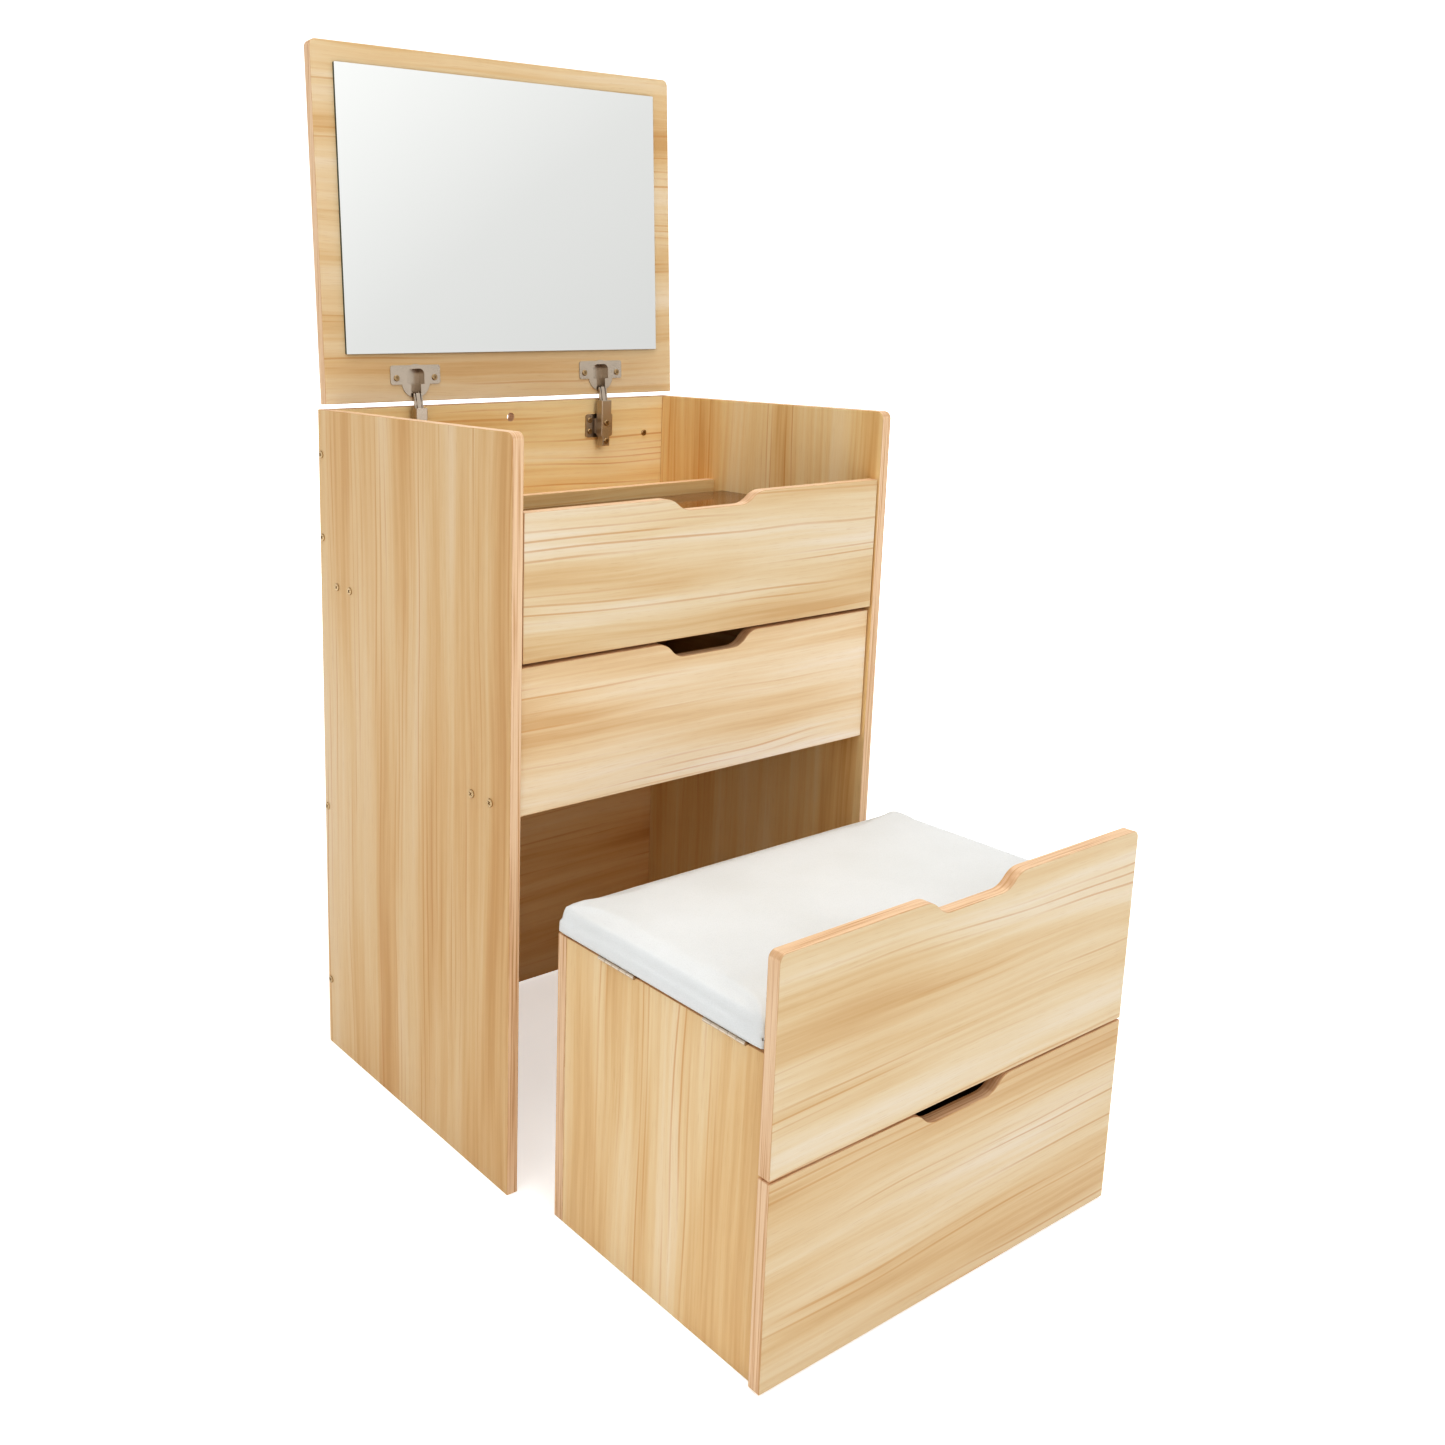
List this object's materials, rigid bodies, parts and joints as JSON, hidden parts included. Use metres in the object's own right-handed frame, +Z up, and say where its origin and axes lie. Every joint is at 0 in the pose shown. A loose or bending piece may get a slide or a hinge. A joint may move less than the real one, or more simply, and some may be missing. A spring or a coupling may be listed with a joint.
{
  "type": "vanity table with mirror",
  "caption": "Small vanity table with a flip-up mirror lid, glass-topped compartment, drawers and a padded storage stool that docks in its kneehole.",
  "frame": {"origin": "on the floor, under the middle of the whole set's box with the stool pulled out and the mirror lid open", "axes": "+Z up, +Y to the back of the table, the user sits on the -Y side"},
  "size_m": [0.4826, 0.6832, 1.0887],
  "materials": {
    "wood": "satin light oak laminate",
    "hardboard": "matt",
    "nickel": "satin nickel plate",
    "mirror": "polished",
    "bronze_glass": "polished",
    "leatherette": "soft satin",
    "runner_plastic": "satin",
    "rubber": "matt"
  },
  "bodies": {
    "cabinet": {"left_side_panel": "wood", "right_side_panel": "wood", "upper_back_panel": "wood", "lower_back_panel": "wood", "well_floor": "wood", "compartment_divider": "wood", "front_stretcher": "wood", "glass_top": "bronze_glass", "glass_cleats": "wood", "panel_screws": "nickel", "back_panel_screws": "nickel", "left_hinge_plate": "nickel", "right_hinge_plate": "nickel", "left_hinge_arm": "nickel", "right_hinge_arm": "nickel", "hinge_arm_pins": "nickel", "hinge_arm_screws": "nickel", "hinge_plate_screws": "nickel", "cabinet_upper_left_runner": "runner_plastic", "cabinet_upper_right_runner": "runner_plastic", "cabinet_lower_left_runner": "runner_plastic", "cabinet_lower_right_runner": "runner_plastic", "cabinet_runner_screws": "nickel"},
    "outer_links": {"hinge_outer_links": "nickel"},
    "inner_links": {"hinge_inner_links": "nickel"},
    "mirror_lid": {"lid_board": "wood", "mirror": "mirror", "left_hinge_cup": "nickel", "right_hinge_cup": "nickel", "hinge_cup_pins": "nickel", "hinge_cup_screws": "nickel"},
    "upper_drawer": {"upper_drawer_front": "wood", "upper_drawer_left_side": "wood", "upper_drawer_right_side": "wood", "upper_drawer_back": "wood", "upper_drawer_bottom": "hardboard"},
    "lower_drawer": {"lower_drawer_front": "wood", "lower_drawer_left_side": "wood", "lower_drawer_right_side": "wood", "lower_drawer_back": "wood", "lower_drawer_bottom": "hardboard"},
    "stool": {"stool_upper_front": "wood", "stool_left_side": "wood", "stool_right_side": "wood", "stool_back": "wood", "stool_storage_floor": "wood", "stool_left_runner": "runner_plastic", "stool_right_runner": "runner_plastic", "stool_runner_screws": "nickel", "seat_hinge_fixed_leaves": "nickel", "seat_hinge_pins": "nickel", "seat_buffers": "rubber"},
    "seat_lid": {"seat_board": "wood", "seat_cushion": "leatherette", "seat_hinge_moving_leaves": "nickel"},
    "stool_drawer": {"stool_drawer_front": "wood", "stool_drawer_left_side": "wood", "stool_drawer_right_side": "wood", "stool_drawer_back": "wood", "stool_drawer_bottom": "hardboard"}
  },
  "joints": [
    {"name": "mirror_lid_swing", "type": "hinge", "parent": "cabinet", "child": "outer_links", "pos_m": [0, 0.30142, 0.716], "axis": [-1, 0, 0], "range_deg": [0, 35.99]},
    {"name": "mirror_lid_turn", "type": "hinge", "parent": "outer_links", "child": "mirror_lid", "pos_m": [0, 0.31092, 0.7334], "axis": [-1, 0, 0], "range_deg": [-129.5, 0]},
    {"name": "inner_link_turn", "type": "hinge", "parent": "cabinet", "child": "inner_links", "pos_m": [0, 0.29942, 0.709], "axis": [-1, 0, 0], "range_deg": [0, 18.01]},
    {"name": "upper_drawer_slide", "type": "slide", "parent": "cabinet", "child": "upper_drawer", "axis": [0, -1, 0], "range_m": [0, 0.17]},
    {"name": "lower_drawer_slide", "type": "slide", "parent": "cabinet", "child": "lower_drawer", "axis": [0, -1, 0], "range_m": [0, 0.22]},
    {"name": "stool_slide", "type": "slide", "parent": "cabinet", "child": "stool", "axis": [0, -1, 0], "range_m": [-0.316, 0.2]},
    {"name": "seat_lid_turn", "type": "hinge", "parent": "stool", "child": "seat_lid", "pos_m": [-0.2224, -0.20808, 0.2817], "axis": [0, -1, 0], "range_deg": [0, 100]},
    {"name": "stool_drawer_slide", "type": "slide", "parent": "stool", "child": "stool_drawer", "axis": [0, -1, 0], "range_m": [0, 0.18]}
  ],
  "couplings": [
    {"joint": "mirror_lid_turn", "follows": "mirror_lid_swing", "ratio": -3.5979},
    {"joint": "inner_link_turn", "follows": "mirror_lid_swing", "ratio": 0.50013}
  ]
}
